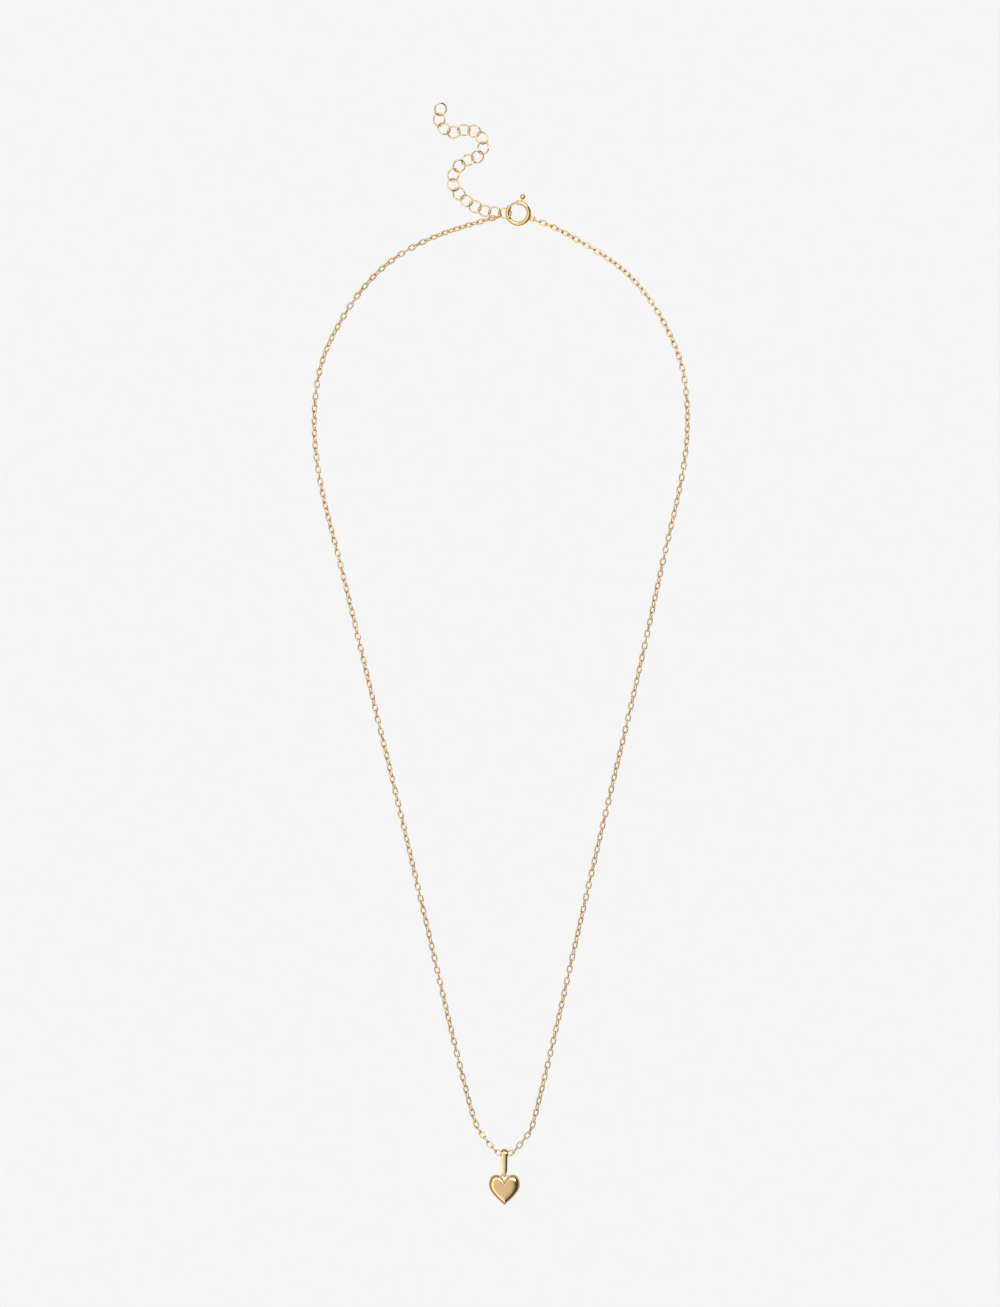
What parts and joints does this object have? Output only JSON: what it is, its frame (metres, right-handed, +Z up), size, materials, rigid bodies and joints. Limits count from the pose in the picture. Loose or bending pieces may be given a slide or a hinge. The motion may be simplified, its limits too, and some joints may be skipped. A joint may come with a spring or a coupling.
{
  "type": "pendant necklace",
  "caption": "Fine cable chain necklace with a puffed heart on a tapered bail, a spring ring clasp and an extender of round rings.",
  "frame": {"origin": "middle of the outline, on the surface that the closed necklace lies on", "axes": "+X across the loop, +Y from the heart up to the clasp and the extender, +Z up from the surface"},
  "size_m": [0.0756, 0.2202, 0.0027],
  "materials": {
    "gold_chain": "polished",
    "gold_rings": "polished",
    "gold_clasp": "polished",
    "gold_pendant": "polished",
    "spring_steel": "bright drawn wire"
  },
  "bodies": {
    "chain_center": {"chain_center": "gold_chain"},
    "left_chain_01": {"left_chain_01": "gold_chain"},
    "left_chain_02": {"left_chain_02": "gold_chain"},
    "left_chain_03": {"left_chain_03": "gold_chain"},
    "left_chain_04": {"left_chain_04": "gold_chain"},
    "left_chain_05": {"left_chain_05": "gold_chain"},
    "left_chain_06": {"left_chain_06": "gold_chain"},
    "left_chain_07": {"left_chain_07": "gold_chain"},
    "left_chain_08": {"left_chain_08": "gold_chain"},
    "left_chain_09": {"left_chain_09": "gold_chain"},
    "left_chain_10": {"left_chain_10": "gold_chain"},
    "left_chain_11": {"left_chain_11": "gold_chain"},
    "left_chain_12": {"left_chain_12": "gold_chain"},
    "right_chain_01": {"right_chain_01": "gold_chain"},
    "right_chain_02": {"right_chain_02": "gold_chain"},
    "right_chain_03": {"right_chain_03": "gold_chain"},
    "right_chain_04": {"right_chain_04": "gold_chain"},
    "right_chain_05": {"right_chain_05": "gold_chain"},
    "right_chain_06": {"right_chain_06": "gold_chain"},
    "right_chain_07": {"right_chain_07": "gold_chain"},
    "right_chain_08": {"right_chain_08": "gold_chain"},
    "right_chain_09": {"right_chain_09": "gold_chain"},
    "right_chain_10": {"right_chain_10": "gold_chain"},
    "right_chain_11": {"right_chain_11": "gold_chain"},
    "right_chain_12": {"right_chain_12": "gold_chain"},
    "jump_ring": {"jump_ring": "gold_rings"},
    "extender_ring_01": {"extender_ring_01": "gold_rings"},
    "extender_ring_02": {"extender_ring_02": "gold_rings"},
    "extender_ring_03": {"extender_ring_03": "gold_rings"},
    "extender_ring_04": {"extender_ring_04": "gold_rings"},
    "extender_ring_05": {"extender_ring_05": "gold_rings"},
    "extender_ring_06": {"extender_ring_06": "gold_rings"},
    "extender_ring_07": {"extender_ring_07": "gold_rings"},
    "extender_ring_08": {"extender_ring_08": "gold_rings"},
    "extender_ring_09": {"extender_ring_09": "gold_rings"},
    "extender_ring_10": {"extender_ring_10": "gold_rings"},
    "extender_ring_11": {"extender_ring_11": "gold_rings"},
    "extender_ring_12": {"extender_ring_12": "gold_rings"},
    "extender_ring_13": {"extender_ring_13": "gold_rings"},
    "extender_ring_14": {"extender_ring_14": "gold_rings"},
    "extender_ring_15": {"extender_ring_15": "gold_rings"},
    "extender_ring_16": {"extender_ring_16": "gold_rings"},
    "extender_ring_17": {"extender_ring_17": "gold_rings"},
    "extender_ring_18": {"extender_ring_18": "gold_rings"},
    "clasp": {"clasp_tube": "gold_clasp", "clasp_tab": "gold_clasp", "clasp_spring": "spring_steel"},
    "trigger": {"clasp_trigger": "gold_clasp"},
    "connector": {"connector": "gold_rings"},
    "bail": {"bail": "gold_pendant"},
    "heart": {"heart": "gold_pendant", "heart_eye": "gold_pendant"}
  },
  "joints": [
    {"name": "left_fold_01", "type": "hinge", "parent": "chain_center", "child": "left_chain_01", "pos_m": [-0.00322, -0.09715, 0.00086], "axis": [0.9999, -0.0117, -0.0014], "range_deg": [-50, 50]},
    {"name": "right_fold_01", "type": "hinge", "parent": "chain_center", "child": "right_chain_01", "pos_m": [0.00481, -0.09725, 0.00085], "axis": [0.9999, -0.0117, -0.0014], "range_deg": [-50, 50]},
    {"name": "left_fold_02", "type": "hinge", "parent": "left_chain_01", "child": "left_chain_02", "pos_m": [-0.00859, -0.08102, 0.00067], "axis": [-1, -0.0059, -0.0003], "range_deg": [-60, 60]},
    {"name": "right_fold_02", "type": "hinge", "parent": "right_chain_01", "child": "right_chain_02", "pos_m": [0.00974, -0.08091, 0.00068], "axis": [-1, -0.0059, -0.0003], "range_deg": [-60, 60]},
    {"name": "left_fold_03", "type": "hinge", "parent": "left_chain_02", "child": "left_chain_03", "pos_m": [-0.01254, -0.06435, 0.00067], "axis": [-1, -0.0074, -0.0001], "range_deg": [-60, 60]},
    {"name": "right_fold_03", "type": "hinge", "parent": "right_chain_02", "child": "right_chain_03", "pos_m": [0.01358, -0.06415, 0.00067], "axis": [-1, -0.0074, -0.0001], "range_deg": [-60, 60]},
    {"name": "left_fold_04", "type": "hinge", "parent": "left_chain_03", "child": "left_chain_04", "pos_m": [-0.01641, -0.04765, 0.00066], "axis": [1, 0.0078, -0.0001], "range_deg": [-60, 60]},
    {"name": "right_fold_04", "type": "hinge", "parent": "right_chain_03", "child": "right_chain_04", "pos_m": [0.01741, -0.04739, 0.00065], "axis": [1, 0.0078, -0.0001], "range_deg": [-60, 60]},
    {"name": "left_fold_05", "type": "hinge", "parent": "left_chain_04", "child": "left_chain_05", "pos_m": [-0.02035, -0.03097, 0.00066], "axis": [1, 0.0079, 0], "range_deg": [-60, 60]},
    {"name": "right_fold_05", "type": "hinge", "parent": "right_chain_04", "child": "right_chain_05", "pos_m": [0.02133, -0.03064, 0.00066], "axis": [1, 0.0079, 0], "range_deg": [-60, 60]},
    {"name": "left_fold_06", "type": "hinge", "parent": "left_chain_05", "child": "left_chain_06", "pos_m": [-0.02437, -0.01431, 0.00066], "axis": [-1, -0.0081, 0], "range_deg": [-60, 60]},
    {"name": "right_fold_06", "type": "hinge", "parent": "right_chain_05", "child": "right_chain_06", "pos_m": [0.02529, -0.01391, 0.00066], "axis": [-1, -0.0081, 0], "range_deg": [-60, 60]},
    {"name": "left_fold_07", "type": "hinge", "parent": "left_chain_06", "child": "left_chain_07", "pos_m": [-0.0284, 0.00235, 0.00066], "axis": [-1, -0.0089, 0], "range_deg": [-60, 60]},
    {"name": "right_fold_07", "type": "hinge", "parent": "right_chain_06", "child": "right_chain_07", "pos_m": [0.0291, 0.00286, 0.00066], "axis": [-1, -0.0089, 0], "range_deg": [-60, 60]},
    {"name": "left_fold_08", "type": "hinge", "parent": "left_chain_07", "child": "left_chain_08", "pos_m": [-0.03243, 0.019, 0.00066], "axis": [0.9999, 0.0101, 0], "range_deg": [-60, 60]},
    {"name": "right_fold_08", "type": "hinge", "parent": "right_chain_07", "child": "right_chain_08", "pos_m": [0.03277, 0.01966, 0.00066], "axis": [0.9999, 0.0101, 0], "range_deg": [-60, 60]},
    {"name": "left_sway_09", "type": "hinge", "parent": "left_chain_08", "child": "left_chain_09", "pos_m": [-0.03644, 0.036, 0.00066], "axis": [0, 0, 1], "range_deg": [-10, 10]},
    {"name": "right_sway_09", "type": "hinge", "parent": "right_chain_08", "child": "right_chain_09", "pos_m": [0.0365, 0.03678, 0.00066], "axis": [0, 0, 1], "range_deg": [-10, 10]},
    {"name": "left_sway_10", "type": "hinge", "parent": "left_chain_09", "child": "left_chain_10", "pos_m": [-0.0368, 0.05307, 0.00066], "axis": [0, 0, 1], "range_deg": [-10, 10]},
    {"name": "right_sway_10", "type": "hinge", "parent": "right_chain_09", "child": "right_chain_10", "pos_m": [0.03681, 0.05391, 0.00066], "axis": [0, 0, 1], "range_deg": [-10, 10]},
    {"name": "left_fold_11", "type": "hinge", "parent": "left_chain_10", "child": "left_chain_11", "pos_m": [-0.03053, 0.06851, 0.00066], "axis": [0.9999, 0.0145, 0], "range_deg": [-40, 40]},
    {"name": "right_fold_11", "type": "hinge", "parent": "right_chain_10", "child": "right_chain_11", "pos_m": [0.03047, 0.06939, 0.00066], "axis": [0.9999, 0.0145, 0], "range_deg": [-40, 40]},
    {"name": "left_fold_12", "type": "hinge", "parent": "left_chain_11", "child": "left_chain_12", "pos_m": [-0.01845, 0.08042, 0.00068], "axis": [-0.9999, -0.0118, 0.0007], "range_deg": [-30, 30]},
    {"name": "right_fold_12", "type": "hinge", "parent": "right_chain_11", "child": "right_chain_12", "pos_m": [0.01788, 0.08085, 0.00066], "axis": [-0.9999, -0.0118, 0.0007], "range_deg": [-30, 30]},
    {"name": "jump_ring_turn", "type": "hinge", "parent": "left_chain_12", "child": "jump_ring", "pos_m": [-0.00019, 0.08709, 0.0013], "axis": [0.9195, 0.3334, -0.2084], "range_deg": [-18, 0]},
    {"name": "clasp_turn", "type": "hinge", "parent": "right_chain_12", "child": "clasp", "pos_m": [0.00805, 0.08587, 0.00068], "axis": [-0.9653, 0.258, 0.0397], "range_deg": [-45, 0]},
    {"name": "connector_turn", "type": "hinge", "parent": "clasp", "child": "connector", "pos_m": [0.00645, 0.0865, 0.00068], "axis": [0.931, -0.365, 0], "range_deg": [-20, 20]},
    {"name": "trigger_slide", "type": "hinge", "parent": "clasp", "child": "trigger", "pos_m": [0.0035, 0.08765, 0.00095], "axis": [0, -0.2419, 0.9703], "range_deg": [-52, 0], "stiffness_Nm_per_rad": 0.0002, "springref_deg": 12, "deforming": ["clasp_spring"]},
    {"name": "bail_swing", "type": "hinge", "parent": "chain_center", "child": "bail", "pos_m": [0.00075, -0.10035, 0.0012], "axis": [1, 0, 0], "range_deg": [-90, 90]},
    {"name": "heart_swing", "type": "hinge", "parent": "bail", "child": "heart", "pos_m": [0.00075, -0.10429, 0.0012], "axis": [1, 0, 0], "range_deg": [-60, 60]},
    {"name": "ring_01_swing", "type": "hinge", "parent": "jump_ring", "child": "extender_ring_01", "pos_m": [-0.00037, 0.08782, 0.00085], "axis": [-0.1564, -0.8376, 0.5234], "range_deg": [-20, 10]},
    {"name": "ring_02_swing", "type": "hinge", "parent": "extender_ring_01", "child": "extender_ring_02", "pos_m": [-0.00239, 0.08808, 0.00088], "axis": [0.296, 0.8452, 0.4451], "range_deg": [-20, 5]},
    {"name": "ring_03_swing", "type": "hinge", "parent": "extender_ring_02", "child": "extender_ring_03", "pos_m": [-0.00432, 0.08873, 0.00084], "axis": [-0.4547, -0.7717, 0.4447], "range_deg": [-20, 20]},
    {"name": "ring_04_swing", "type": "hinge", "parent": "extender_ring_03", "child": "extender_ring_04", "pos_m": [-0.00608, 0.08975, 0.00088], "axis": [0.5991, 0.6657, 0.4448], "range_deg": [-20, 20]},
    {"name": "ring_05_swing", "type": "hinge", "parent": "extender_ring_04", "child": "extender_ring_05", "pos_m": [-0.00764, 0.09105, 0.00084], "axis": [-0.7027, -0.555, 0.4452], "range_deg": [-20, 20]},
    {"name": "ring_06_swing", "type": "hinge", "parent": "extender_ring_05", "child": "extender_ring_06", "pos_m": [-0.00898, 0.09259, 0.00088], "axis": [0.7853, 0.4308, 0.4446], "range_deg": [-20, 20]},
    {"name": "ring_07_swing", "type": "hinge", "parent": "extender_ring_06", "child": "extender_ring_07", "pos_m": [-0.00958, 0.09451, 0.00084], "axis": [-0.897, -0.0522, 0.4389], "range_deg": [-20, 20]},
    {"name": "ring_08_swing", "type": "hinge", "parent": "extender_ring_07", "child": "extender_ring_08", "pos_m": [-0.00881, 0.09638, 0.00088], "axis": [0.7313, -0.5221, 0.4389], "range_deg": [-20, 20]},
    {"name": "ring_09_swing", "type": "hinge", "parent": "extender_ring_08", "child": "extender_ring_09", "pos_m": [-0.00729, 0.09773, 0.00084], "axis": [-0.4423, 0.78, 0.4426], "range_deg": [-20, 20]},
    {"name": "ring_10_swing", "type": "hinge", "parent": "extender_ring_09", "child": "extender_ring_10", "pos_m": [-0.00544, 0.0986, 0.00088], "axis": [0.2158, -0.8691, 0.4451], "range_deg": [-20, 20]},
    {"name": "ring_11_swing", "type": "hinge", "parent": "extender_ring_10", "child": "extender_ring_11", "pos_m": [-0.00387, 0.09987, 0.00088], "axis": [-0.7067, 0.5539, 0.4402], "range_deg": [-20, 20]},
    {"name": "ring_12_swing", "type": "hinge", "parent": "extender_ring_11", "child": "extender_ring_12", "pos_m": [-0.00358, 0.10188, 0.00084], "axis": [0.8953, 0.0883, 0.4367], "range_deg": [-20, 20]},
    {"name": "ring_13_swing", "type": "hinge", "parent": "extender_ring_12", "child": "extender_ring_13", "pos_m": [-0.00458, 0.10361, 0.00089], "axis": [-0.6338, -0.6403, 0.4339], "range_deg": [-20, 20]},
    {"name": "ring_14_swing", "type": "hinge", "parent": "extender_ring_13", "child": "extender_ring_14", "pos_m": [-0.00654, 0.10417, 0.00084], "axis": [0.0495, 0.897, 0.4392], "range_deg": [-20, 20]},
    {"name": "ring_15_swing", "type": "hinge", "parent": "extender_ring_14", "child": "extender_ring_15", "pos_m": [-0.00857, 0.104, 0.00088], "axis": [0.2471, -0.861, 0.4445], "range_deg": [-20, 20]},
    {"name": "ring_16_swing", "type": "hinge", "parent": "extender_ring_15", "child": "extender_ring_16", "pos_m": [-0.01059, 0.10409, 0.00088], "axis": [0.2349, 0.8658, 0.4418], "range_deg": [-20, 20]},
    {"name": "ring_17_swing", "type": "hinge", "parent": "extender_ring_16", "child": "extender_ring_17", "pos_m": [-0.01195, 0.10558, 0.00084], "axis": [-0.7961, -0.421, 0.4346], "range_deg": [-20, 20]},
    {"name": "ring_18_swing", "type": "hinge", "parent": "extender_ring_17", "child": "extender_ring_18", "pos_m": [-0.01228, 0.10758, 0.00088], "axis": [0.8961, -0.0607, 0.4396], "range_deg": [-20, 20]}
  ],
  "couplings": [
    {"joint": "right_fold_01", "follows": "left_fold_01", "ratio": 1},
    {"joint": "right_fold_02", "follows": "left_fold_02", "ratio": 1},
    {"joint": "right_fold_03", "follows": "left_fold_03", "ratio": 1},
    {"joint": "right_fold_04", "follows": "left_fold_04", "ratio": 1},
    {"joint": "right_fold_05", "follows": "left_fold_05", "ratio": 1},
    {"joint": "right_fold_06", "follows": "left_fold_06", "ratio": 1},
    {"joint": "right_fold_07", "follows": "left_fold_07", "ratio": 1},
    {"joint": "right_fold_08", "follows": "left_fold_08", "ratio": 1},
    {"joint": "right_sway_09", "follows": "left_sway_09", "ratio": 1},
    {"joint": "left_sway_10", "follows": "left_sway_09", "ratio": -1},
    {"joint": "right_sway_10", "follows": "left_sway_09", "ratio": -1},
    {"joint": "right_fold_11", "follows": "left_fold_11", "ratio": 1},
    {"joint": "right_fold_12", "follows": "left_fold_12", "ratio": 1}
  ]
}
